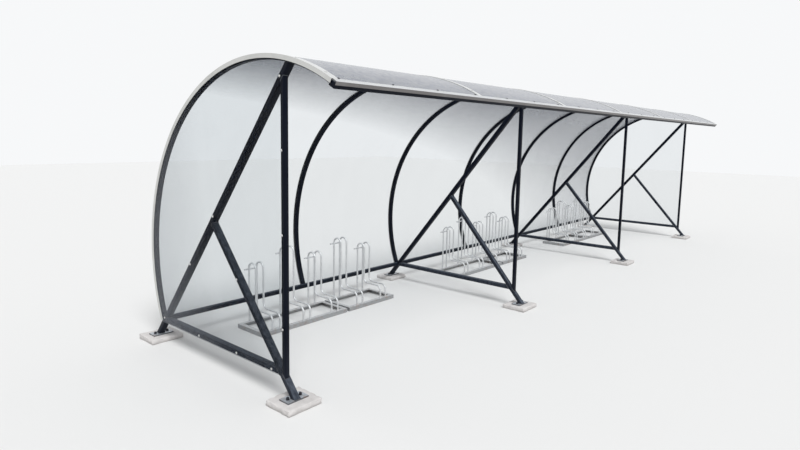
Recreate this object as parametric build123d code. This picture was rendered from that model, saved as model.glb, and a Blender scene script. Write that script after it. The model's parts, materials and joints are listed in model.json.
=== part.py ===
from build123d import *
import math
import os

# Open bicycle shelter: four steel frames in a row, a curved clear roof that runs down the back,
# two clear end panels and three stands for bicycles. Millimetres. X runs along the row, Y runs from
# the open front to the back, Z is up. The origin is under the middle of the whole on the ground.

# Row
BAY_LENGTH = 3000.0
BAY_COUNT = 3

# Steel sections of the frames
FRAME_WIDTH = 60.0
TUBE_WIDTH = 50.0
TUBE_DEPTH = 40.0
STRUT_DEPTH = 35.0
ARCH_WIDTH = 40.0
ARCH_DEPTH = 30.0
POST_WIDTH = 40.0
POST_DEPTH = 30.0
REAR_RAIL_HEIGHT = 40.0
REAR_RAIL_DEPTH = 40.0

# Profile of one frame, measured back from the middle of the front feet
ARCH_RADIUS = 1500.0
ARCH_CENTRE_BACK = 344.0
ARCH_CENTRE_HEIGHT = 777.0
EAVE_ANGLE = 30.8
DIAGONAL_TOP_ANGLE = 13.1
STRUT_LEAN = 41.6
STRUT_FOOT_FORWARD = 22.0
POST_BACK = 71.0
RAIL_CLEARANCE = 178.0

# Feet
PLATE_LENGTH = 170.0
PLATE_DEPTH = 95.0
PLATE_THICKNESS = 10.0
BOLT_SPACING = 106.0
BOLT_HOLE = 14.0
FOOTING_LENGTH = 280.0
FOOTING_DEPTH = 250.0
FOOTING_HEIGHT = 40.0

# Eave
EAVE_BEAM_DEPTH = 50.0
EAVE_BEAM_HEIGHT = 40.0
EAVE_TRIM_LIP = 16.0
EAVE_TRIM_TOP = 40.0

# Clear sheets and their metal trims
SHEET_THICKNESS = 4.0
SHEET_SEAT = 0.3
SHEET_JOINT = 8.0
ROOF_END_TURN = 0.1
TRIM_THICKNESS = 3.0
COVER_STRIP_WIDTH = 50.0
END_TRIM_SIDE = 30.0
END_TRIM_TOP = 50.0
PANEL_THICKNESS = 5.0
PANEL_EDGE_INSET = 5.0
PANEL_POST_COVER = 18.0

# Bicycle stands
PLACE_COUNTS = (3, 2)
PLACE_PITCH = 352.0
PLACE_OVERHANG = 160.0
STAND_SHIFT = -40.0
STAND_CLEARANCE = 126.0
STAND_DEPTH = 350.0
HOOP_ROD = 18.0
HOOP_GAP = 64.0
HOOP_BEND = 52.0
LOW_HOOP_HEIGHT = 605.0
HIGH_HOOP_HEIGHT = 705.0
HOOP_STEP_HEIGHT = 180.0
HOOP_STEP_BEND = 55.0
LOCK_BAR_ROD = 14.0
LOCK_BAR_DROP = 75.0
LOCK_BAR_STUB = 40.0
LOCK_BAR_SEAT = 2.0
STAND_ANGLE = 40.0
STAND_ANGLE_WALL = 4.0

# Levels and places that follow from the sizes above
plate_top = FOOTING_HEIGHT + PLATE_THICKNESS
arch_inner = ARCH_RADIUS - ARCH_DEPTH
arch_middle = ARCH_RADIUS - ARCH_DEPTH / 2
sheet_inner = ARCH_RADIUS + SHEET_SEAT
sheet_outer = sheet_inner + SHEET_THICKNESS
trim_inner = sheet_outer + SHEET_SEAT
trim_outer = trim_inner + TRIM_THICKNESS
rail_middle = RAIL_CLEARANCE + TUBE_DEPTH / 2
row_length = BAY_COUNT * BAY_LENGTH
frame_places = [i * BAY_LENGTH - row_length / 2 for i in range(BAY_COUNT + 1)]
mid_places = [i * BAY_LENGTH + BAY_LENGTH / 2 - row_length / 2 for i in range(BAY_COUNT)]
row_end = row_length / 2 + FRAME_WIDTH / 2
cutter_size = 4 * (ARCH_RADIUS + FRAME_WIDTH)


def on_arch(radius, angle):
    """Point (back, height) at an angle from straight up, positive towards the back."""
    turn = math.radians(angle)
    return (ARCH_CENTRE_BACK + radius * math.sin(turn), ARCH_CENTRE_HEIGHT + radius * math.cos(turn))


def arch_angle_at(radius, height):
    """Angle at which the back of the arch passes a height."""
    return 90 + math.degrees(math.asin((ARCH_CENTRE_HEIGHT - height) / radius))


def heading(start, finish):
    """Unit direction from one (back, height) point to another."""
    length = math.dist(start, finish)
    return ((finish[0] - start[0]) / length, (finish[1] - start[1]) / length)


def meet(point, direction, other, other_direction):
    """Point where two straight lines in the frame's plane cross."""
    cross = direction[0] * other_direction[1] - direction[1] * other_direction[0]
    gap = (other[0] - point[0], other[1] - point[1])
    along = (gap[0] * other_direction[1] - gap[1] * other_direction[0]) / cross
    return (point[0] + along * direction[0], point[1] + along * direction[1])


def arch_meets_line(radius, point, direction):
    """Angle at which a line, followed along its direction, leaves the arch's circle."""
    back = point[0] - ARCH_CENTRE_BACK
    height = point[1] - ARCH_CENTRE_HEIGHT
    half = back * direction[0] + height * direction[1]
    along = -half + math.sqrt(half**2 - back**2 - height**2 + radius**2)
    return math.degrees(math.atan2(back + along * direction[0], height + along * direction[1]))


def bar(start, finish, depth, width):
    """Straight bar between two (back, height) points, centred on x = 0."""
    middle = ((start[0] + finish[0]) / 2, (start[1] + finish[1]) / 2)
    lean = math.degrees(math.atan2(start[0] - finish[0], finish[1] - start[1]))
    return Pos(0, *middle) * Rot(lean, 0, 0) * Box(width, depth, math.dist(start, finish))


def ring(inner, outer, start, finish, width):
    """Curved bar round the arch's centre, between two angles, centred on x = 0."""
    middle = (start + finish) / 2
    outline = [
        Line(on_arch(inner, start), on_arch(outer, start)),
        ThreePointArc(on_arch(outer, start), on_arch(outer, middle), on_arch(outer, finish)),
        Line(on_arch(outer, finish), on_arch(inner, finish)),
        ThreePointArc(on_arch(inner, finish), on_arch(inner, middle), on_arch(inner, start)),
    ]
    return extrude(Plane.YZ * make_face(outline), amount=width / 2, both=True)


def cut_level(piece, level):
    """Cuts off what lies below a level."""
    cutter = Box(cutter_size, cutter_size, cutter_size, align=(Align.CENTER, Align.CENTER, Align.MAX))
    return piece - Pos(0, 0, level) * cutter


# Lines of one frame: the diagonal leaves the arch near its front and meets it again at the rails
diagonal_head = on_arch(arch_middle, -DIAGONAL_TOP_ANGLE)
diagonal_way = heading(on_arch(arch_middle, arch_angle_at(arch_middle, RAIL_CLEARANCE)), diagonal_head)
diagonal_foot = meet(diagonal_head, diagonal_way, (0, plate_top), (1, 0))
rear_foot_back = diagonal_foot[0]
strut_foot = (-STRUT_FOOT_FORWARD, plate_top)
strut_way = (math.sin(math.radians(STRUT_LEAN)), math.cos(math.radians(STRUT_LEAN)))
strut_head = meet(strut_foot, strut_way, diagonal_foot, diagonal_way)
post_foot = meet(strut_foot, strut_way, (POST_BACK, 0), (0, 1))
post_head = meet(diagonal_foot, diagonal_way, (POST_BACK, 0), (0, 1))
rail_front = meet(strut_foot, strut_way, (0, rail_middle), (1, 0))
rail_back = meet(diagonal_foot, diagonal_way, (0, rail_middle), (1, 0))
diagonal_down = (-diagonal_way[0], -diagonal_way[1])
arch_end_angle = arch_meets_line(arch_middle, diagonal_head, diagonal_down)

# The rear rail's lower edge touches the inside of the roof, and the roof ends above the diagonals
rear_rail_face = on_arch(ARCH_RADIUS, arch_angle_at(ARCH_RADIUS, RAIL_CLEARANCE))[0]
rear_rail_top = RAIL_CLEARANCE + REAR_RAIL_HEIGHT
stand_back = rear_rail_face - REAR_RAIL_DEPTH - STAND_CLEARANCE
leg_back = stand_back - STAND_ANGLE_WALL - HOOP_ROD / 2
diagonal_back = (diagonal_head[0] - diagonal_down[1] * TUBE_DEPTH / 2,
                 diagonal_head[1] + diagonal_down[0] * TUBE_DEPTH / 2)
roof_back_angle = arch_meets_line(sheet_inner, diagonal_back, diagonal_down) - ROOF_END_TURN

# The eave beam lies square to the arch's end
eave_turn = math.degrees(math.asin(EAVE_BEAM_DEPTH / 2 / ARCH_RADIUS))
eave_middle_angle = -EAVE_ANGLE + eave_turn
eave_face = ARCH_RADIUS * math.cos(math.radians(eave_turn))


def at_eave(piece):
    """Places a piece drawn with z out from the arch's centre and y back along the eave."""
    return Pos(0, ARCH_CENTRE_BACK, ARCH_CENTRE_HEIGHT) * Rot(-eave_middle_angle, 0, 0) * piece


def at_eave_end(piece):
    """Cuts a roof piece where the eave beam's back face starts."""
    cutter = Box(cutter_size, ARCH_RADIUS, ARCH_RADIUS, align=(Align.CENTER, Align.MAX, Align.CENTER))
    return piece - at_eave(Pos(0, EAVE_BEAM_DEPTH / 2, ARCH_RADIUS) * cutter)


def faces(x, width):
    """Both side faces of a tube that lies flush with the outer face of the frame at x."""
    if x < 0:
        return (x - FRAME_WIDTH / 2, x - FRAME_WIDTH / 2 + width)
    return (x + FRAME_WIDTH / 2 - width, x + FRAME_WIDTH / 2)


def flush(piece, width):
    """Moves a tube drawn round x = 0 flush with the outer face of a frame on the left of the row."""
    return Pos((width - FRAME_WIDTH) / 2, 0, 0) * piece


def below(point, way):
    """Point on a line under the place where it meets the base plate."""
    return (point[0] - way[0] * FRAME_WIDTH, point[1] - way[1] * FRAME_WIDTH)


def beside(point, way, distance):
    """Point moved square to a line, to the front of one that rises to the front."""
    return (point[0] - way[1] * distance, point[1] + way[0] * distance)


def cut_beside(piece, point, way):
    """Cuts off what lies behind the line through a point, seen along the line's way."""
    lean = math.degrees(math.atan2(-way[0], way[1]))
    cutter = Box(cutter_size, cutter_size, cutter_size, align=(Align.CENTER, Align.MIN, Align.CENTER))
    return piece - Pos(0, *point) * Rot(lean, 0, 0) * cutter


def make_diagonal():
    tube = bar(below(diagonal_foot, diagonal_way), diagonal_head, TUBE_DEPTH, TUBE_WIDTH)
    arch_space = ring(arch_inner, ARCH_RADIUS, -EAVE_ANGLE, EAVE_ANGLE, 2 * FRAME_WIDTH)
    return flush(cut_level(tube, plate_top) - arch_space, TUBE_WIDTH)


def make_arch(diagonal):
    piece = ring(arch_inner, ARCH_RADIUS, -EAVE_ANGLE, arch_end_angle, ARCH_WIDTH)
    return flush(at_eave_end(piece), ARCH_WIDTH) - diagonal


def under_diagonal(piece):
    return cut_beside(piece, beside(diagonal_foot, diagonal_way, TUBE_DEPTH / 2), diagonal_way)


def make_strut():
    tube = bar(below(strut_foot, strut_way), strut_head, STRUT_DEPTH, TUBE_WIDTH)
    return flush(under_diagonal(cut_level(tube, plate_top)), TUBE_WIDTH)


def make_post():
    """Post from the strut's upper face to the diagonal's lower face."""
    tube = under_diagonal(bar(post_foot, post_head, POST_DEPTH, POST_WIDTH))
    return flush(cut_beside(tube, beside(strut_foot, strut_way, STRUT_DEPTH / 2), strut_way), POST_WIDTH)


def make_bottom_rail():
    """Rail from the strut's back face to the diagonal's lower face."""
    tube = under_diagonal(bar(rail_front, rail_back, TUBE_DEPTH, TUBE_WIDTH))
    back = (-strut_way[0], -strut_way[1])
    return flush(cut_beside(tube, beside(strut_foot, back, STRUT_DEPTH / 2), back), TUBE_WIDTH)


def make_rear_rail(start, finish):
    """Rail along the back between the diagonals of two frames."""
    left = faces(start, TUBE_WIDTH)[1]
    right = faces(finish, TUBE_WIDTH)[0]
    rail = Box(right - left, REAR_RAIL_DEPTH, REAR_RAIL_HEIGHT, align=(Align.CENTER, Align.MAX, Align.MIN))
    return Pos((left + right) / 2, rear_rail_face, RAIL_CLEARANCE) * rail


def make_mid_arch():
    piece = ring(arch_inner, ARCH_RADIUS, -EAVE_ANGLE, arch_end_angle, ARCH_WIDTH)
    return cut_level(at_eave_end(piece), rear_rail_top)


def make_base_plate():
    plate = Pos(0, 0, FOOTING_HEIGHT + PLATE_THICKNESS / 2) * Box(PLATE_LENGTH, PLATE_DEPTH, PLATE_THICKNESS)
    for side in (-1, 1):
        hole = Pos(side * BOLT_SPACING / 2, 0, plate_top) * Cylinder(BOLT_HOLE / 2, 3 * PLATE_THICKNESS)
        plate = plate - hole
    return plate


def make_footing():
    return Pos(0, 0, FOOTING_HEIGHT / 2) * Box(FOOTING_LENGTH, FOOTING_DEPTH, FOOTING_HEIGHT)


def make_eave_beam():
    beam = Pos(0, 0, eave_face - EAVE_BEAM_HEIGHT / 2) * Box(2 * row_end, EAVE_BEAM_DEPTH, EAVE_BEAM_HEIGHT)
    return at_eave(beam)


def make_eave_trim():
    front = -EAVE_BEAM_DEPTH / 2 - SHEET_SEAT
    lip_height = trim_outer - eave_face + EAVE_TRIM_LIP
    lip = Box(2 * row_end, TRIM_THICKNESS, lip_height, align=(Align.CENTER, Align.MAX, Align.MAX))
    top = Box(2 * row_end, EAVE_TRIM_TOP, TRIM_THICKNESS, align=(Align.CENTER, Align.MIN, Align.MAX))
    return at_eave(Pos(0, front, trim_outer) * lip + Pos(0, front - TRIM_THICKNESS, trim_outer) * top)


def make_sheet(length):
    return ring(sheet_inner, sheet_outer, -EAVE_ANGLE, roof_back_angle, length)


def strip_front_angle():
    """Angle at which the strips over the seams stop behind the eave trim."""
    covered = EAVE_TRIM_TOP - TRIM_THICKNESS - EAVE_BEAM_DEPTH / 2
    return eave_middle_angle + math.degrees(math.asin(covered / sheet_outer))


def make_cover_strip():
    return ring(trim_inner, trim_outer, strip_front_angle(), roof_back_angle, COVER_STRIP_WIDTH)


def make_end_trim():
    """Angle turned round the arch's centre, over a sheet's outer edge and the edge of an end panel."""
    face = -PANEL_THICKNESS - 2 * SHEET_SEAT
    inner = face + END_TRIM_TOP
    outer = face - TRIM_THICKNESS
    low = trim_outer - END_TRIM_SIDE
    outer_side = [(outer, low), (outer, trim_outer), (inner, trim_outer)]
    inner_side = [(inner, trim_inner), (face, trim_inner), (face, low)]
    profile = outer_side + inner_side
    outline = Polyline([(x, *on_arch(radius, strip_front_angle())) for x, radius in profile], close=True)
    axle = Axis((0, ARCH_CENTRE_BACK, ARCH_CENTRE_HEIGHT), (-1, 0, 0))
    return revolve(make_face(outline), axis=axle, revolution_arc=roof_back_angle - strip_front_angle())


def make_end_panel():
    """Flat clear panel on the outer face of an end frame, from the post back to the arch."""
    radius = ARCH_RADIUS - PANEL_EDGE_INSET
    front = POST_BACK - POST_DEPTH / 2 + PANEL_POST_COVER
    bottom = RAIL_CLEARANCE
    front_angle = math.degrees(math.asin((front - ARCH_CENTRE_BACK) / radius))
    back_angle = arch_angle_at(radius, bottom)
    low_back = on_arch(radius, back_angle)
    top_front = on_arch(radius, front_angle)
    outline = [
        Line((front, bottom), low_back),
        ThreePointArc(low_back, on_arch(radius, (front_angle + back_angle) / 2), top_front),
        Line(top_front, (front, bottom)),
    ]
    return extrude(Plane.YZ * make_face(outline), amount=PANEL_THICKNESS)


def hoop_path(height):
    """Middle line of one bent rod of a stand, from its back leg over to its front leg."""
    start = STAND_ANGLE
    top = height - HOOP_ROD / 2 - HOOP_BEND
    back = leg_back
    middle = leg_back - HOOP_BEND
    front = leg_back - 2 * HOOP_BEND
    end = leg_back - STAND_DEPTH
    step = HOOP_STEP_HEIGHT - HOOP_ROD / 2
    bend = HOOP_STEP_BEND
    eased = bend * (1 - math.sqrt(0.5))
    return [
        Line((back, start), (back, top)),
        ThreePointArc((back, top), (middle, top + HOOP_BEND), (front, top)),
        Line((front, top), (front, step + bend)),
        ThreePointArc((front, step + bend), (front - eased, step + eased), (front - bend, step)),
        Line((front - bend, step), (end + bend, step)),
        ThreePointArc((end + bend, step), (end + eased, step - eased), (end, step - bend)),
        Line((end, step - bend), (end, start)),
    ]


def make_rods(height):
    """The two bent rods that hold one wheel between them."""
    path = Plane.YZ * Wire(hoop_path(height))
    rod = sweep(Plane((0, leg_back, STAND_ANGLE)) * Circle(HOOP_ROD / 2), path=path)
    spread = (HOOP_GAP + HOOP_ROD) / 2
    return [Pos(-spread, 0, 0) * rod, Pos(spread, 0, 0) * rod]


def make_lock_bar(height):
    """Short bar across the back of a place's rods, with a stub on one side for a lock."""
    length = HOOP_GAP + HOOP_ROD + LOCK_BAR_STUB
    back = leg_back + (HOOP_ROD + LOCK_BAR_ROD) / 2 - LOCK_BAR_SEAT
    lock_bar = Rot(0, 90, 0) * Cylinder(LOCK_BAR_ROD / 2, length)
    lock_bar = Pos(-LOCK_BAR_STUB / 2, back, height - LOCK_BAR_DROP) * lock_bar
    for rod in make_rods(height):
        lock_bar = lock_bar - rod
    return lock_bar


def place_offsets():
    """Middle of each place along one stand, grouped by the stand's units."""
    total = sum(PLACE_COUNTS)
    groups = []
    first = 0
    for count in PLACE_COUNTS:
        groups.append([(first + i - (total - 1) / 2) * PLACE_PITCH for i in range(count)])
        first += count
    return groups


def make_stand_unit(start, finish):
    """Welded frame of angle bars on the ground, flat side up, under one group of places."""
    outer_front = leg_back - STAND_DEPTH - HOOP_ROD / 2 - STAND_ANGLE_WALL
    length = finish - start
    depth = stand_back - outer_front
    flat_hole = Box(length - 2 * STAND_ANGLE, depth - 2 * STAND_ANGLE, STAND_ANGLE)
    flat = Box(length, depth, STAND_ANGLE_WALL) - flat_hole
    wall_hole = Box(length - 2 * STAND_ANGLE_WALL, depth - 2 * STAND_ANGLE_WALL, 2 * STAND_ANGLE)
    wall = Box(length, depth, STAND_ANGLE) - wall_hole
    middle = ((start + finish) / 2, (stand_back + outer_front) / 2)
    return Pos(*middle, STAND_ANGLE - STAND_ANGLE_WALL / 2) * flat + Pos(*middle, STAND_ANGLE / 2) * wall


def make_stand_frame():
    ends = [(group[0] - PLACE_OVERHANG, group[-1] + PLACE_OVERHANG) for group in place_offsets()]
    return [make_stand_unit(start, finish) for start, finish in ends]


def stand_places():
    """Place along the stand and height of every place, high and low by turns."""
    offsets = [x for group in place_offsets() for x in group]
    return [(x, HIGH_HOOP_HEIGHT if i % 2 else LOW_HOOP_HEIGHT) for i, x in enumerate(offsets)]


# The whole stands over the origin, half way between the eave and what reaches farthest back
front_most = min((make_eave_beam() + make_eave_trim()).bounding_box().min.Y, -FOOTING_DEPTH / 2)
back_most = max(ARCH_CENTRE_BACK + trim_outer, rear_foot_back + FOOTING_DEPTH / 2)
middle_back = (front_most + back_most) / 2


def save(name, pieces):
    placed = [Pos(0, -middle_back, 0) * piece for piece in pieces]
    shape = placed[0] if len(placed) == 1 else Compound(children=placed)
    export_step(shape, f"parts/{name}.step")


def main():
    os.makedirs("parts", exist_ok=True)
    diagonal = make_diagonal()
    frame = {
        "arch": make_arch(diagonal),
        "diagonal": diagonal,
        "strut": make_strut(),
        "post": make_post(),
        "bottom_rail": make_bottom_rail(),
    }
    for i, x in enumerate(frame_places, 1):
        for name, piece in frame.items():
            handed = piece if x < 0 else mirror(piece, about=Plane.YZ)
            save(f"{name}_{i}", [Pos(x, 0, 0) * handed])

    mid_arch = make_mid_arch()
    for i, (start, finish) in enumerate(zip(frame_places, frame_places[1:]), 1):
        save(f"rear_rail_{i}", [make_rear_rail(start, finish)])
        save(f"mid_arch_{i}", [Pos(mid_places[i - 1], 0, 0) * mid_arch])

    save("eave_beam", [make_eave_beam()])
    save("eave_trim", [make_eave_trim()])

    foot_places = [(x, y) for x in frame_places for y in (0, rear_foot_back)]
    save("base_plates", [Pos(x, y, 0) * make_base_plate() for x, y in foot_places])
    save("footings", [Pos(x, y, 0) * make_footing() for x, y in foot_places])

    # Sheets end at the seams over the arches, and the end sheets reach over the end panels
    seams = sorted([sum(faces(x, ARCH_WIDTH)) / 2 for x in frame_places[1:-1]] + mid_places)
    outer_edge = row_end + PANEL_THICKNESS + SHEET_SEAT
    edges = [-outer_edge - SHEET_JOINT / 2, *seams, outer_edge + SHEET_JOINT / 2]
    for i, (start, finish) in enumerate(zip(edges, edges[1:]), 1):
        sheet = make_sheet(finish - start - SHEET_JOINT)
        save(f"roof_sheet_{i}", [Pos((start + finish) / 2, 0, 0) * sheet])
    save("cover_strips", [Pos(x, 0, 0) * make_cover_strip() for x in seams])
    end_trim = Pos(-row_end, 0, 0) * make_end_trim()
    save("end_trims", [end_trim, mirror(end_trim, about=Plane.YZ)])

    end_panel = Pos(-row_end - SHEET_SEAT - PANEL_THICKNESS, 0, 0) * make_end_panel()
    save("end_panel_1", [end_panel])
    save("end_panel_2", [mirror(end_panel, about=Plane.YZ)])

    stands = [x + STAND_SHIFT for x in mid_places]
    rods = [Pos(x, 0, 0) * rod for x, height in stand_places() for rod in make_rods(height)]
    lock_bars = [Pos(x, 0, 0) * make_lock_bar(height) for x, height in stand_places()]
    for i, x in enumerate(stands, 1):
        save(f"stand_frame_{i}", [Pos(x, 0, 0) * piece for piece in make_stand_frame()])
        save(f"stand_hoops_{i}", [Pos(x, 0, 0) * rod for rod in rods])
    save("lock_bars", [Pos(x, 0, 0) * lock_bar for x in stands for lock_bar in lock_bars])


main()
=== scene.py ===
import json
import math

import bmesh
import bpy
from mathutils import Matrix, Vector, noise


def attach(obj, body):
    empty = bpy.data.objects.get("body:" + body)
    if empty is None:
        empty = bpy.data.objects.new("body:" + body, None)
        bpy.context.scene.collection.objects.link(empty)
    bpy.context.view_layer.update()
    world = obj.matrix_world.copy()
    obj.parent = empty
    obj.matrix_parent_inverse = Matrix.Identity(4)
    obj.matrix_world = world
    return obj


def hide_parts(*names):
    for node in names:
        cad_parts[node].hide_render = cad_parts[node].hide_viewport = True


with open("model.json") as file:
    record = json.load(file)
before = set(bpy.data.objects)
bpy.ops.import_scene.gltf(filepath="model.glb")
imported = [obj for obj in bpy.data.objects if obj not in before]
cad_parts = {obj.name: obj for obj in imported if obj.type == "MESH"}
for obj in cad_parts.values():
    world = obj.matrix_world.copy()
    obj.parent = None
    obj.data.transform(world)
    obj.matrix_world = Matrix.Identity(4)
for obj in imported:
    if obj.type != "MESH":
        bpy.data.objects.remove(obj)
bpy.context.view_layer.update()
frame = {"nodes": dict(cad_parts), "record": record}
print("frame loaded:", len(frame["nodes"]), "nodes")

# Lines of the steelwork in metres, the same as in the part: y is back from the front feet's middle
shelter = {
    "frames": (-4.5, -1.5, 1.5, 4.5),
    "mids": (-3.0, 0.0, 3.0),
    "middleBack": 0.7515,
    "frameWidth": 0.06,
    "tube": (0.05, 0.04),
    "strutDepth": 0.035,
    "post": (0.04, 0.03, 0.071),
    "plateTop": 0.05,
    "archCentre": (0.344, 0.777),
    "archRadius": 1.5,
    "trimRadius": 1.5076,
    "strutFoot": -0.022,
    "strutLean": 41.6,
    "rearFoot": 1.8089,
    "diagonalTop": 13.1,
    "railMiddle": 0.198,
}


def rowPoint(x, back, height):
    return Vector((x, back - shelter["middleBack"], height))


def onArch(radius, degrees):
    turn = math.radians(degrees)
    centre = shelter["archCentre"]
    return (centre[0] + radius * math.sin(turn), centre[1] + radius * math.cos(turn))


def flushMiddle(x, width):  # tubes lie flush with the outer face of their frame
    side = -1 if x < 0 else 1
    return x + side * (shelter["frameWidth"] - width) / 2


# Camera at the photograph's place
view = {
    "place": (-6.7677, -3.5921, 1.7692),
    "yaw": 48.95,
    "pitch": -6.83,
    "roll": 0.99,
    "lens": 25.62,
    "filmWidth": 36,
    "farthest": 200,
    "shift": (0.0045, -0.0257),
}
lensData = bpy.data.cameras.new("photoCamera")
lensData.sensor_width = view["filmWidth"]
lensData.lens = view["lens"]
lensData.shift_x, lensData.shift_y = view["shift"]
lensData.clip_end = view["farthest"]
photoCamera = bpy.data.objects.new("photoCamera", lensData)
bpy.context.scene.collection.objects.link(photoCamera)
turnCamera = (Matrix.Rotation(math.radians(-view["yaw"]), 4, "Z")
              @ Matrix.Rotation(math.radians(90 + view["pitch"]), 4, "X")
              @ Matrix.Rotation(math.radians(view["roll"]), 4, "Z"))
photoCamera.matrix_world = Matrix.Translation(view["place"]) @ turnCamera
bpy.context.scene.camera = photoCamera
print("camera set")


class Wire:  # a node's output that takes part in sums
    def __init__(self, graph, socket):
        self.graph = graph
        self.socket = socket

    def maths(self, operation, first, second):
        return self.graph.add("ShaderNodeMath", {"operation": operation}, {0: first, 1: second})

    def __add__(self, other):
        return self.maths("ADD", self, other)

    def __radd__(self, other):
        return self.maths("ADD", other, self)

    def __sub__(self, other):
        return self.maths("SUBTRACT", self, other)

    def __rsub__(self, other):
        return self.maths("SUBTRACT", other, self)

    def __mul__(self, other):
        return self.maths("MULTIPLY", self, other)

    def __rmul__(self, other):
        return self.maths("MULTIPLY", other, self)


class Graph:  # any node tree, with one way to add a node
    def __init__(self, tree):
        self.tree = tree

    def add(self, kind, settings=None, sockets=None, out=0):
        node = self.tree.nodes.new(kind)
        for key, value in (settings or {}).items():
            if key == "stops":
                ramp = node.color_ramp.elements
                while len(ramp) < len(value):
                    ramp.new(0.5)
                for stop, (place, colour) in zip(ramp, value):
                    stop.position = place
                    stop.color = colour if len(colour) == 4 else (*colour, 1)
            else:
                setattr(node, key, value)
        for key, value in (sockets or {}).items():
            for one in value if isinstance(value, list) else [value]:
                if isinstance(one, Wire):
                    self.tree.links.new(one.socket, node.inputs[key])
                else:
                    node.inputs[key].default_value = one
        return Wire(self, node.outputs[out]) if node.outputs else None


class Finish(Graph):  # a material in the making
    def __init__(self, name):
        self.material = bpy.data.materials.new(name)
        self.material.use_nodes = True
        super().__init__(self.material.node_tree)
        self.tree.nodes.clear()
        self.place = self.add("ShaderNodeTexCoord", out="Object")

    def stretched(self, scale):
        return self.add("ShaderNodeMapping", None, {"Vector": self.place, "Scale": scale}, "Vector")

    def noise(self, scale, detail=4, roughness=0.55, vector=None):
        return self.add("ShaderNodeTexNoise", None, {"Vector": vector or self.place, "Scale": scale,
                                                      "Detail": detail, "Roughness": roughness}, 0)

    def cells(self, scale, out="Distance"):
        return self.add("ShaderNodeTexVoronoi", None, {"Vector": self.place, "Scale": scale}, out)

    def ramp(self, value, *stops):
        grey = [(place, (level, level, level)) for place, level in stops]
        return self.add("ShaderNodeValToRGB", {"stops": grey}, {0: value})

    def blend(self, factor, first, second, way="MIX"):
        first, second = [(*c, 1) if isinstance(c, tuple) else c for c in (first, second)]
        return self.add("ShaderNodeMix", {"data_type": "RGBA", "blend_type": way},
                        {0: factor, 6: first, 7: second}, 2)

    def height(self):
        return self.add("ShaderNodeSeparateXYZ", None, {0: self.place}, "Z")

    def upward(self):  # 1 on faces that look straight up
        facing = self.add("ShaderNodeNewGeometry", out="Normal")
        return self.add("ShaderNodeSeparateXYZ", None, {0: facing}, "Z")

    def bump(self, height, strength, distance):
        return self.add("ShaderNodeBump", None, {"Strength": strength, "Distance": distance, "Height": height})

    def principled(self, sockets):
        return self.add("ShaderNodeBsdfPrincipled", None, sockets)

    def done(self, shader):
        self.add("ShaderNodeOutputMaterial", None, {"Surface": shader})
        return self.material


def framePaint(name, dustiness):
    colours = {"paint": (0.0012, 0.0026, 0.008), "worn": (0.003, 0.005, 0.012), "dustAndSheen": (0.075, 0.088, 0.112)}
    f = Finish(name)
    cloud = f.noise(2.2, 5)
    colour = f.blend(f.ramp(cloud, (0.35, 0), (0.75, 0.8)), colours["paint"], colours["worn"])
    streaks = f.noise(34, 4, 0.6, f.stretched((1, 1, 0.12)))
    low = f.ramp(f.height(), (0.04, 0.3), (0.42, 0.0))
    # faces that look up blend towards the dust colour: partly settled dust, partly a painted sheen of the sky
    upwardDustAndSheen = f.ramp(f.upward(), (0.3, 0), (0.7, 0.8))
    dustAndSheen = f.ramp(streaks, (0.3, 0.25), (0.7, 1)) * (low + upwardDustAndSheen + dustiness)
    colour = f.blend(dustAndSheen, colour, colours["dustAndSheen"])
    peel = f.noise(420, 2) * 0.6 + f.noise(260, 3) * 0.4
    return f.done(f.principled({"Base Color": colour, "Roughness": 0.3 + cloud * 0.12 + dustAndSheen * 0.35,
                                "Normal": f.bump(peel, 0.2, 0.0006), "Coat Weight": 0.02,
                                "Coat Roughness": 0.15, "Specular IOR Level": 0.07}))


def clearSheet():
    glass = {"tint": (0.94, 0.95, 0.955), "film": (0.15, 0.172, 0.245), "dirt": (0.46, 0.46, 0.45)}
    f = Finish("clearSheet")
    smear = f.noise(3.5, 5, 0.6, f.stretched((1, 1, 0.35)))
    specks = f.ramp(f.cells(24), (0.02, 1), (0.05, 0))
    grime = f.noise(28, 4)
    low = f.ramp(f.height(), (0.18, 0.6), (0.75, 0))
    film = f.ramp(smear, (0.45, 0), (0.85, 1)) * 0.02 + specks * grime * 0.08 + low * grime * 0.06 + 0.008
    # towards grazing angles the sheet shows its opaque hazy body in place of the view through it: a painted
    # reflection
    grazingReflection = f.ramp(f.add("ShaderNodeLayerWeight", None, {"Blend": 0.5}, "Facing"), (0.5, 0), (0.88, 0.9))
    body = f.principled({"Base Color": f.blend(grime, glass["film"], glass["dirt"]),
                         "Roughness": 0.16 + smear * 0.1 + low * 0.15, "Specular IOR Level": 0.2})
    clear = f.add("ShaderNodeBsdfTransparent", None, {"Color": (*glass["tint"], 1)})
    return f.done(f.add("ShaderNodeMixShader", None, {0: film + grazingReflection, 1: clear, 2: body}))


def trimMetal(name, light, dark, underShade):
    stainTone = (0.42, 0.42, 0.41)
    f = Finish(name)
    drawn = f.noise(60, 3, 0.5, f.stretched((0.03, 1, 1)))
    cloud = f.noise(4, 5)
    colour = f.blend(drawn, light, dark)
    # faces that don't look up take the darker under colour, a painted shade
    colour = f.blend(f.ramp(f.upward(), (0.0, 1), (0.45, 0)), colour, underShade)
    stain = f.ramp(cloud, (0.5, 0), (0.75, 1))
    colour = f.blend(stain * 0.4, colour, stainTone)
    return f.done(f.principled({"Base Color": colour, "Metallic": 0.8, "Roughness": 0.36 + stain * 0.2,
                                "Normal": f.bump(drawn, 0.12, 0.0005)}))


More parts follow.
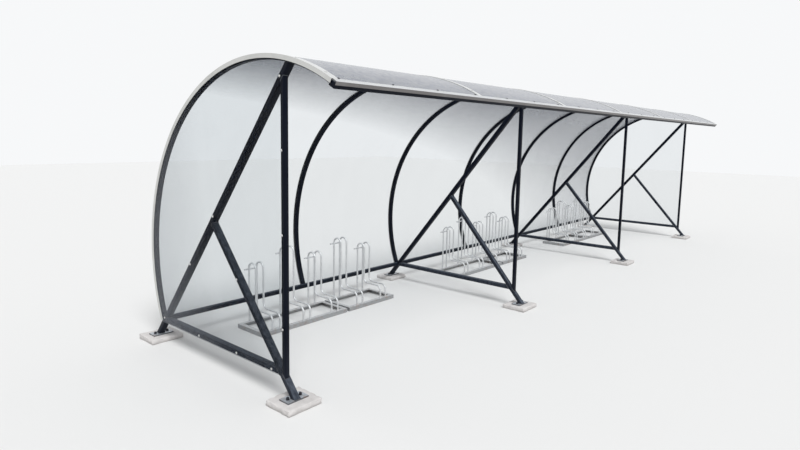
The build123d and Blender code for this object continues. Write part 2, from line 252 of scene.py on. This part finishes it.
def galvanised(name, light, dark, rust, rustAmount, sideShade=0.0):  # sideShade darkens all but level faces
    tones = {"bloom": (0.62, 0.63, 0.63), "shade": (0.07, 0.073, 0.08)}
    f = Finish(name)
    flakes = f.cells(85, "Color")
    flake = f.add("ShaderNodeRGBToBW", None, {0: flakes})
    cloud = f.noise(7, 5)
    fine = f.noise(190, 3)
    colour = f.blend(flake * 0.7 + cloud * 0.3, dark, light)
    white = f.ramp(cloud, (0.55, 0), (0.8, 1)) * fine
    colour = f.blend(white * 0.6, colour, tones["bloom"])
    colour = f.blend(f.ramp(f.upward(), (0.2, sideShade), (0.8, 0)), colour, tones["shade"])
    low = f.ramp(f.height(), (0.0, 1), (0.12, 0))
    stain = f.ramp(f.noise(22, 5), (0.52, 0), (0.66, 1)) * (low * 0.7 + 0.06) * rustAmount
    colour = f.blend(stain, colour, rust)
    return f.done(f.principled({"Base Color": colour, "Metallic": 0.75 - stain * 0.7,
                                "Roughness": 0.42 + flake * 0.16 + stain * 0.3,
                                "Normal": f.bump(fine + flake * 0.3, 0.18, 0.0006)}))


def concrete():
    tones = {"pale": (0.77, 0.745, 0.735), "grey": (0.56, 0.54, 0.53), "dampAndPitShade": (0.25, 0.235, 0.225)}
    f = Finish("castConcrete")
    cloud = f.noise(9, 6, 0.65)
    grain = f.noise(260, 4, 0.7)
    pits = f.ramp(f.cells(120), (0.05, 1), (0.17, 0))
    colour = f.blend(f.ramp(cloud, (0.3, 0), (0.7, 1)), tones["grey"], tones["pale"])
    colour = f.blend(grain * 0.35, colour, tones["grey"])
    low = f.ramp(f.height(), (0.0, 1), (0.022, 0))
    # darker near the ground with damp, and darker in the pits as a painted shade
    colour = f.blend(low * 0.6 + pits * 0.35, colour, tones["dampAndPitShade"])
    relief = cloud * 0.5 + grain * 0.35 - pits * 0.6
    return f.done(f.principled({"Base Color": colour, "Roughness": 0.86 + grain * 0.1,
                                "Normal": f.bump(relief, 0.7, 0.004)}))


def weldSteel():
    tones = {"hollowShade": (0.012, 0.016, 0.026), "crestHighlight": (0.05, 0.055, 0.065)}
    f = Finish("paintedWeld")
    ripple = f.noise(700, 2)
    # the ripple's hollows are painted darker and its crests lighter: painted shade and painted highlight
    colour = f.blend(ripple, tones["hollowShade"], tones["crestHighlight"])
    return f.done(f.principled({"Base Color": colour, "Roughness": 0.38 + ripple * 0.15,
                                "Normal": f.bump(ripple, 0.5, 0.0008), "Coat Weight": 0.25}))


rustTone = (0.26, 0.13, 0.06)
finishes = {
    "frame_paint": framePaint("framePaint", dustiness=0.02),
    "clear_sheet": clearSheet(),
    "bright_trim": trimMetal("brightTrim", light=(0.86, 0.865, 0.86), dark=(0.66, 0.67, 0.67),
                             underShade=(0.62, 0.62, 0.60)),
    "galvanised": galvanised("dullZinc", light=(0.76, 0.77, 0.78), dark=(0.54, 0.55, 0.56),
                             rust=rustTone, rustAmount=0.5),
    "base_steel": galvanised("plateZinc", light=(0.58, 0.61, 0.65), dark=(0.38, 0.41, 0.45),
                             rust=(0.20, 0.11, 0.06), rustAmount=0.9, sideShade=0.75),
    "concrete": concrete(),
}
weldFinish = weldSteel()
boltFinish = galvanised("boltZinc", light=(0.66, 0.66, 0.65), dark=(0.42, 0.42, 0.42),
                        rust=(0.3, 0.15, 0.07), rustAmount=0.4)
darkBolt = galvanised("darkBolt", light=(0.05, 0.05, 0.06), dark=(0.012, 0.012, 0.018),
                      rust=(0.08, 0.04, 0.02), rustAmount=0.5)

# Pieces that differ from the rest of their slot
# the eave trim's down-facing lip is painted nearly black, a painted shade
ownFinish = {"eave_trim": trimMetal("eaveTrim", light=(0.76, 0.77, 0.78), dark=(0.60, 0.61, 0.62),
                                    underShade=(0.20, 0.19, 0.19))}
dustyPaint = framePaint("dustyPaint", dustiness=0.32)  # the low tubes are greyer with dust from the ground
for number in range(1, len(shelter["frames"]) + 1):
    ownFinish[f"strut_{number}"] = ownFinish[f"bottom_rail_{number}"] = dustyPaint
standZinc = galvanised("standZinc", light=(0.72, 0.73, 0.74), dark=(0.50, 0.51, 0.52),
                       rust=rustTone, rustAmount=0.5, sideShade=0.42)
for number in range(1, len(shelter["mids"]) + 1):
    ownFinish[f"stand_frame_{number}"] = standZinc
slotOf = {entry["node"]: entry["material_slot"] for entry in frame["record"]["subparts"]}
for name, node in frame["nodes"].items():
    for index in range(max(1, len(node.material_slots))):
        if not node.material_slots:
            node.data.materials.append(None)
        node.material_slots[index].material = ownFinish.get(name, finishes[slotOf[name]])
print("finishes:", len(bpy.data.materials))


def addObject(name, mesh):
    thing = bpy.data.objects.new(name, mesh)
    bpy.context.scene.collection.objects.link(thing)
    return thing


# A node's loose triangles are merged to whole faces before they are worked on
merging = {"distance": 0.00005, "flatAngle": 0.6}


def mergedCopy(node):
    bm = bmesh.new()
    bm.from_mesh(node.data)
    bmesh.ops.remove_doubles(bm, verts=bm.verts, dist=merging["distance"])
    bmesh.ops.dissolve_limit(bm, angle_limit=math.radians(merging["flatAngle"]), verts=bm.verts, edges=bm.edges)
    return bm


def finishedPiece(name, bm, sharpFrom, material):
    for face in bm.faces:
        face.smooth = True
    mesh = bpy.data.meshes.new(name)
    bm.to_mesh(mesh)
    bm.free()
    mesh.set_sharp_from_angle(angle=math.radians(sharpFrom))
    mesh.materials.append(material)
    return addObject(name, mesh)


# Tubes with rolled corners in place of the sharp ones
rolled = {"corner": 0.004, "steps": 3, "cornerFrom": 35, "sharpFrom": 32,
          "nodes": ("arch", "diagonal", "strut", "post", "bottom_rail", "rear_rail", "mid_arch")}


def rollCorners(name, node):
    bm = mergedCopy(node)
    least = math.radians(rolled["cornerFrom"])
    sharp = [e for e in bm.edges if len(e.link_faces) == 2 and e.calc_face_angle() > least]
    bmesh.ops.bevel(bm, geom=sharp, offset=rolled["corner"], segments=rolled["steps"], profile=0.5,
                    affect="EDGES", clamp_overlap=True)
    return finishedPiece(name, bm, rolled["sharpFrom"], node.material_slots[0].material)


for nodeName in sorted(frame["nodes"]):
    if nodeName.rpartition("_")[0] in rolled["nodes"]:
        piece = rollCorners(f"rolled_{nodeName}", frame["nodes"][nodeName])
        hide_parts(nodeName)
        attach(piece, "root")
print("tubes rolled")


# Rough cast edges for the footings, always inside the sharp block
rough = {"edge": 0.004, "longEdges": (0.1, 1.0), "cutsAlong": 26, "shortEdges": (0.02, 0.06), "cutsUp": 4,
         "depth": 0.0075, "topDepth": 0.0006, "grain": 26.0, "roughness": 0.55, "lacunarity": 2.2, "octaves": 4,
         "gain": 0.9, "offset": 0.35, "foot": 0.002, "top": 0.0395, "level": 0.98, "sharpFrom": 38}


def castBlock(node):
    bm = mergedCopy(node)
    bmesh.ops.bevel(bm, geom=bm.edges[:], offset=rough["edge"], segments=1, affect="EDGES")
    for lengths, cuts in ((rough["longEdges"], rough["cutsAlong"]), (rough["shortEdges"], rough["cutsUp"])):
        chosen = [e for e in bm.edges if lengths[0] < e.calc_length() < lengths[1]]
        bmesh.ops.subdivide_edges(bm, edges=chosen, cuts=cuts, use_grid_fill=True)
    bm.normal_update()
    for corner in bm.verts:
        if corner.co.z > rough["foot"]:
            dent = noise.fractal(corner.co * rough["grain"], rough["roughness"], rough["lacunarity"],
                                 rough["octaves"])
            flat = corner.co.z > rough["top"] and corner.normal.z > rough["level"]
            depth = rough["topDepth"] if flat else rough["depth"]
            corner.co -= corner.normal * depth * max(0.0, min(1.0, dent * rough["gain"] + rough["offset"]))
    return finishedPiece("castFootings", bm, rough["sharpFrom"], finishes["concrete"])


blocks = castBlock(frame["nodes"]["footings"])
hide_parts("footings")
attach(blocks, "root")
print("footings cast:", len(blocks.data.polygons), "faces")


# Bolts and screws, all from one tree: washer, head and shank end on points that carry a direction
turnedShape = {"washerSides": 20, "washerTaper": 0.97, "lowerShare": 0.6, "waist": (0.3, 0.7),
               "crown": (0.55, 0.35), "shankSides": 12, "shankTaper": 0.85, "spin": 6.283}


def fastenerTree():
    tree = bpy.data.node_groups.new("fastener", "GeometryNodeTree")
    face = tree.interface
    face.new_socket("Geometry", in_out="INPUT", socket_type="NodeSocketGeometry")
    for name, value in (("Washer Radius", 0.012), ("Washer Height", 0.002), ("Head Radius", 0.008),
                        ("Head Height", 0.006), ("Head Top", 1.0), ("Shank Radius", 0.004),
                        ("Shank Height", 0.004)):
        face.new_socket(name, in_out="INPUT", socket_type="NodeSocketFloat").default_value = value
    face.new_socket("Head Sides", in_out="INPUT", socket_type="NodeSocketInt").default_value = 6
    face.new_socket("Seed", in_out="INPUT", socket_type="NodeSocketInt").default_value = 7
    face.new_socket("Metal", in_out="INPUT", socket_type="NodeSocketMaterial")
    face.new_socket("Geometry", in_out="OUTPUT", socket_type="NodeSocketGeometry")
    g = Graph(tree)
    given = tree.nodes.new("NodeGroupInput")

    def take(name):
        return Wire(g, given.outputs[name])

    def turned(sides, bottom, top, depth, lift):
        shape = g.add("GeometryNodeMeshCone", None, {"Vertices": sides, "Radius Bottom": bottom,
                                                     "Radius Top": top, "Depth": depth}, "Mesh")
        up = g.add("ShaderNodeCombineXYZ", None, {"Z": lift})
        return g.add("GeometryNodeTransform", None, {"Geometry": shape, "Translation": up})

    washerHeight, headHeight = take("Washer Height"), take("Head Height")
    washerRadius, headRadius, shankRadius = take("Washer Radius"), take("Head Radius"), take("Shank Radius")
    lowerHeight = headHeight * turnedShape["lowerShare"]
    waist, crown = [headRadius * (take("Head Top") * turnedShape[part][0] + turnedShape[part][1])
                    for part in ("waist", "crown")]
    washer = turned(turnedShape["washerSides"], washerRadius, washerRadius * turnedShape["washerTaper"],
                    washerHeight, 0.0)
    lower = turned(take("Head Sides"), headRadius, waist, lowerHeight, washerHeight)
    upper = turned(take("Head Sides"), waist, crown, headHeight - lowerHeight, washerHeight + lowerHeight)
    shank = turned(turnedShape["shankSides"], shankRadius, shankRadius * turnedShape["shankTaper"],
                   take("Shank Height"), washerHeight + headHeight)
    whole = g.add("GeometryNodeJoinGeometry", None, {"Geometry": [washer, lower, upper, shank]})
    facing = g.add("GeometryNodeInputNamedAttribute", {"data_type": "FLOAT_VECTOR"}, {"Name": "facing"})
    turn = g.add("FunctionNodeAlignRotationToVector", {"axis": "Z"}, {"Vector": facing})
    spin = g.add("FunctionNodeRandomValue", {"data_type": "FLOAT"},
                 {2: 0.0, 3: turnedShape["spin"], "Seed": take("Seed")}, 1)
    around = g.add("FunctionNodeAxisAngleToRotation", None, {"Axis": (0, 0, 1), "Angle": spin})
    both = g.add("FunctionNodeRotateRotation", {"rotation_space": "LOCAL"}, {0: turn, 1: around})
    placed = g.add("GeometryNodeInstanceOnPoints", None, {"Points": take("Geometry"), "Instance": whole,
                                                          "Rotation": both})
    real = g.add("GeometryNodeRealizeInstances", None, {"Geometry": placed})
    coated = g.add("GeometryNodeSetMaterial", None, {"Geometry": real, "Material": take("Metal")})
    g.add("NodeGroupOutput", None, {"Geometry": coated})
    return tree


fasteners = fastenerTree()


def grow(name, carrier, tree, values):  # runs a tree on a carrier mesh and keeps the plain result
    source = addObject(f"{name}_source", carrier)
    modifier = source.modifiers.new("grow", "NODES")
    modifier.node_group = tree
    for item in tree.interface.items_tree:
        if item.in_out == "INPUT" and item.name in values:
            modifier[item.identifier] = values[item.name]
    result = source.evaluated_get(bpy.context.evaluated_depsgraph_get())
    mesh = bpy.data.meshes.new_from_object(result)
    bpy.data.objects.remove(source)
    mesh.name = name
    piece = addObject(name, mesh)
    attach(piece, "root")
    return piece


def placeFasteners(name, points, sizes, metal):
    carrier = bpy.data.meshes.new(f"{name}_points")
    carrier.from_pydata([p for p, way in points], [], [])
    facing = carrier.attributes.new("facing", "FLOAT_VECTOR", "POINT")
    for index, (p, way) in enumerate(points):
        facing.data[index].vector = way
    piece = grow(name, carrier, fasteners, {**sizes, "Metal": metal})
    return piece


# Anchor bolts through the base plates
anchors = {"spacing": 0.106, "Washer Radius": 0.0125, "Washer Height": 0.002, "Head Radius": 0.0112,
           "Head Height": 0.0145, "Head Top": 0.85, "Shank Radius": 0.006, "Shank Height": 0.001}
anchorPoints = [(rowPoint(x + side * anchors["spacing"] / 2, back, shelter["plateTop"]), Vector((0, 0, 1)))
                for x in shelter["frames"] for back in (0, shelter["rearFoot"]) for side in (-1, 1)]
placeFasteners("anchorBolts", anchorPoints, anchors, darkBolt)

# Button bolts that hold the clear end panels to the tubes
panelBolts = {"face": 4.5353, "post": (0.5, 1.125, 1.669), "rail": (0.195, 0.609, 1.122),
              "diagonal": (0.219, 0.749, 1.162, 2.129), "strut": (0.742,), "tubeMiddle": 0.015,
              "Washer Radius": 0.009, "Washer Height": 0.0015, "Head Radius": 0.0068, "Head Height": 0.0045,
              "Head Top": 0.25, "Shank Radius": 0.002, "Shank Height": 0.0004, "Head Sides": 16}
plate = shelter["plateTop"]
headBack, headHeight = onArch(shelter["archRadius"] - panelBolts["tubeMiddle"], -shelter["diagonalTop"])


def diagonalBack(height):
    return shelter["rearFoot"] + (headBack - shelter["rearFoot"]) * (height - plate) / (headHeight - plate)


def strutBack(height):
    return shelter["strutFoot"] + (height - plate) * math.tan(math.radians(shelter["strutLean"]))


boltPlaces = [(shelter["post"][2], z) for z in panelBolts["post"]]
boltPlaces += [(back, shelter["railMiddle"]) for back in panelBolts["rail"]]
boltPlaces += [(diagonalBack(z), z) for z in panelBolts["diagonal"]]
boltPlaces += [(strutBack(z), z) for z in panelBolts["strut"]]
panelPoints = [(rowPoint(side * panelBolts["face"], back, z), Vector((side, 0, 0)))
               for side in (-1, 1) for back, z in boltPlaces]
placeFasteners("panelBolts", panelPoints, panelBolts, boltFinish)


def onTrim(x, degrees):  # a point on the strips' outer face, with the way out of it
    turn = math.radians(degrees)
    return (rowPoint(x, *onArch(shelter["trimRadius"], degrees)), Vector((0, math.sin(turn), math.cos(turn))))


# Screws down the cover strips and the end trims, clear of the very top
roofScrews = {"from": -26.0, "step": 11.0, "count": 13, "clearTop": 4, "stripWidth": 0.04, "endTrim": 4.512,
              "Washer Radius": 0.009, "Washer Height": 0.0012, "Head Radius": 0.006, "Head Height": 0.003,
              "Head Top": 0.4, "Shank Radius": 0.0015, "Shank Height": 0.0003}
seams = list(shelter["mids"]) + [flushMiddle(x, roofScrews["stripWidth"]) for x in shelter["frames"][1:3]]
screwPoints = []
for x in seams + [-roofScrews["endTrim"], roofScrews["endTrim"]]:
    for index in range(roofScrews["count"]):
        degrees = roofScrews["from"] + index * roofScrews["step"]
        if abs(degrees) > roofScrews["clearTop"]:
            screwPoints.append(onTrim(x, degrees))
placeFasteners("roofScrews", screwPoints, roofScrews, boltFinish)

# Dark screws along the top of the eave trim
eaveScrews = {"end": 4.48, "count": 20, "degrees": -29.2, "Washer Radius": 0.008, "Washer Height": 0.001,
              "Head Radius": 0.0055, "Head Height": 0.004, "Head Top": 0.4, "Shank Radius": 0.0015,
              "Shank Height": 0.0003}
eavePoints = [onTrim(eaveScrews["end"] * (2 * i / (eaveScrews["count"] - 1) - 1), eaveScrews["degrees"])
              for i in range(eaveScrews["count"])]
placeFasteners("eaveScrews", eavePoints, eaveScrews, darkBolt)
allPoints = anchorPoints + panelPoints + screwPoints + eavePoints
print("fasteners placed:", len(allPoints))


# Weld beads round the tube ends, a rippled cord of metal on closed loops
cord = {"swell": (0.92, 1.08), "sides": 8}


def beadTree():
    tree = bpy.data.node_groups.new("bead", "GeometryNodeTree")
    face = tree.interface
    face.new_socket("Geometry", in_out="INPUT", socket_type="NodeSocketGeometry")
    for name, value in (("Bead Radius", 0.003), ("Ripple Length", 0.004), ("Ripple Depth", 0.25)):
        face.new_socket(name, in_out="INPUT", socket_type="NodeSocketFloat").default_value = value
    face.new_socket("Seed", in_out="INPUT", socket_type="NodeSocketInt").default_value = 3
    face.new_socket("Metal", in_out="INPUT", socket_type="NodeSocketMaterial")
    face.new_socket("Geometry", in_out="OUTPUT", socket_type="NodeSocketGeometry")
    g = Graph(tree)
    given = tree.nodes.new("NodeGroupInput")

    def take(name):
        return Wire(g, given.outputs[name])

    line = g.add("GeometryNodeMeshToCurve", None, {"Mesh": take("Geometry")})
    even = g.add("GeometryNodeResampleCurve", {"mode": "LENGTH"},
                 {"Curve": line, "Length": take("Ripple Length")})
    swell = g.add("FunctionNodeRandomValue", {"data_type": "FLOAT"},
                  {2: cord["swell"][0], 3: cord["swell"][1], "Seed": take("Seed")}, 1)
    index = g.add("GeometryNodeInputIndex")
    wave = g.add("ShaderNodeMath", {"operation": "PINGPONG"}, {0: index, 1: 1.0})
    radius = take("Bead Radius") * (swell - wave * take("Ripple Depth"))
    sized = g.add("GeometryNodeSetCurveRadius", None, {"Curve": even, "Radius": radius})
    ring = g.add("GeometryNodeCurvePrimitiveCircle", None, {"Resolution": cord["sides"], "Radius": 1.0})
    swept = g.add("GeometryNodeCurveToMesh", None, {"Curve": sized, "Profile Curve": ring, "Scale": radius})
    smooth = g.add("GeometryNodeSetShadeSmooth", None, {"Geometry": swept})
    real = g.add("GeometryNodeRealizeInstances", None, {"Geometry": smooth})
    coated = g.add("GeometryNodeSetMaterial", None, {"Geometry": real, "Material": take("Metal")})
    g.add("NodeGroupOutput", None, {"Geometry": coated})
    return tree


welds = {"Bead Radius": 0.0032, "Ripple Length": 0.0045, "Ripple Depth": 0.22}


def aside(point, way, distance):  # a point moved square to a tube's line
    return (point[0] - way[1] * distance, point[1] + way[0] * distance)


def endLoop(x, width, depth, point, way, planePoint, planeWay):  # where a tube's four edges meet a plane
    facing = (-planeWay[1], planeWay[0])
    corners = []
    for dx, off in ((-1, -1), (1, -1), (1, 1), (-1, 1)):
        start = aside(point, way, off * depth / 2)
        gap = (planePoint[0] - start[0]) * facing[0] + (planePoint[1] - start[1]) * facing[1]
        along = gap / (way[0] * facing[0] + way[1] * facing[1])
        corners.append(rowPoint(x + dx * width / 2, start[0] + way[0] * along, start[1] + way[1] * along))
    return corners


def unit(start, finish):
    length = math.dist(start, finish)
    return ((finish[0] - start[0]) / length, (finish[1] - start[1]) / length)


tubeWidth, tubeDepth = shelter["tube"]
diagonalStart = (shelter["rearFoot"], plate)
diagonalWay = unit(diagonalStart, (headBack, headHeight))
lean = math.radians(shelter["strutLean"])
strutStart, strutWay = (shelter["strutFoot"], plate), (math.sin(lean), math.cos(lean))
strutDepth = shelter["strutDepth"]
postWidth, postDepth, postBack = shelter["post"]
underDiagonal = aside(diagonalStart, diagonalWay, tubeDepth / 2)
overStrut = aside(strutStart, strutWay, strutDepth / 2)
backOfStrut = aside(strutStart, strutWay, -strutDepth / 2)
level, upright = (1, 0), (0, 1)
onPlate, onRail, onPost = (0, plate), (0.8, shelter["railMiddle"]), (postBack, 1)  # any point of each line
loops = []
for x in shelter["frames"]:
    tubeX, postX = flushMiddle(x, tubeWidth), flushMiddle(x, postWidth)
    loops.append(endLoop(tubeX, tubeWidth, strutDepth, strutStart, strutWay, onPlate, level))
    loops.append(endLoop(tubeX, tubeWidth, tubeDepth, diagonalStart, diagonalWay, onPlate, level))
    loops.append(endLoop(tubeX, tubeWidth, strutDepth, strutStart, strutWay, underDiagonal, diagonalWay))
    loops.append(endLoop(postX, postWidth, postDepth, onPost, upright, underDiagonal, diagonalWay))
    loops.append(endLoop(postX, postWidth, postDepth, onPost, upright, overStrut, strutWay))
    loops.append(endLoop(tubeX, tubeWidth, tubeDepth, onRail, level, underDiagonal, diagonalWay))
    loops.append(endLoop(tubeX, tubeWidth, tubeDepth, onRail, level, backOfStrut, strutWay))
carrier = bpy.data.meshes.new("weldLines")
corners = [corner for loop in loops for corner in loop]
edges = [(4 * i + k, 4 * i + (k + 1) % 4) for i in range(len(loops)) for k in range(4)]
carrier.from_pydata(corners, edges, [])
weldPiece = grow("weldBeads", carrier, beadTree(), {**welds, "Metal": weldFinish})
print("welds run:", len(loops))

# Plain pale floor, soft light from above and the front
studio = {"floorSize": 60, "floorLevel": -0.001, "floorTone": (0.80, 0.80, 0.795), "floorRoughness": 0.9,
          "sky": (0.93, 0.94, 0.95), "skyLight": 0.62, "keyPower": 2.1, "keyTurn": (38, 0, -28), "keyWidth": 25}
floorMesh = bpy.data.meshes.new("studioFloor")
half = studio["floorSize"] / 2
floorCorners = [(x * half, y * half, studio["floorLevel"]) for x, y in ((-1, -1), (1, -1), (1, 1), (-1, 1))]
floorMesh.from_pydata(floorCorners, [], [(0, 1, 2, 3)])
floor = addObject("studioFloor", floorMesh)
f = Finish("studioFloor")
floorMesh.materials.append(f.done(f.principled({"Base Color": (*studio["floorTone"], 1),
                                                "Roughness": studio["floorRoughness"]})))

world = bpy.data.worlds.new("studioWorld")
world.use_nodes = True
bpy.context.scene.world = world
w = Graph(world.node_tree)
world.node_tree.nodes.clear()
path = world.node_tree.nodes.new("ShaderNodeLightPath")
seen = [Wire(w, path.outputs[name]) for name in ("Is Camera Ray", "Is Glossy Ray", "Is Transmission Ray")]
shown = w.add("ShaderNodeMath", {"operation": "ADD", "use_clamp": True}, {0: seen[0] + seen[1], 1: seen[2]})
plain = w.add("ShaderNodeBackground", None, {"Color": (*studio["sky"], 1), "Strength": studio["skyLight"]})
pale = w.add("ShaderNodeBackground", None, {"Color": (*studio["sky"], 1), "Strength": 1.0})
mixed = w.add("ShaderNodeMixShader", None, {0: shown, 1: plain, 2: pale})
w.add("ShaderNodeOutputWorld", None, {"Surface": mixed})

keyData = bpy.data.lights.new("softKey", "SUN")
keyData.energy = studio["keyPower"]
keyData.angle = math.radians(studio["keyWidth"])
key = bpy.data.objects.new("softKey", keyData)
key.rotation_euler = [math.radians(v) for v in studio["keyTurn"]]
bpy.context.scene.collection.objects.link(key)
bpy.context.scene.view_settings.view_transform = "Standard"
print("studio lit")

bpy.context.view_layer.update()
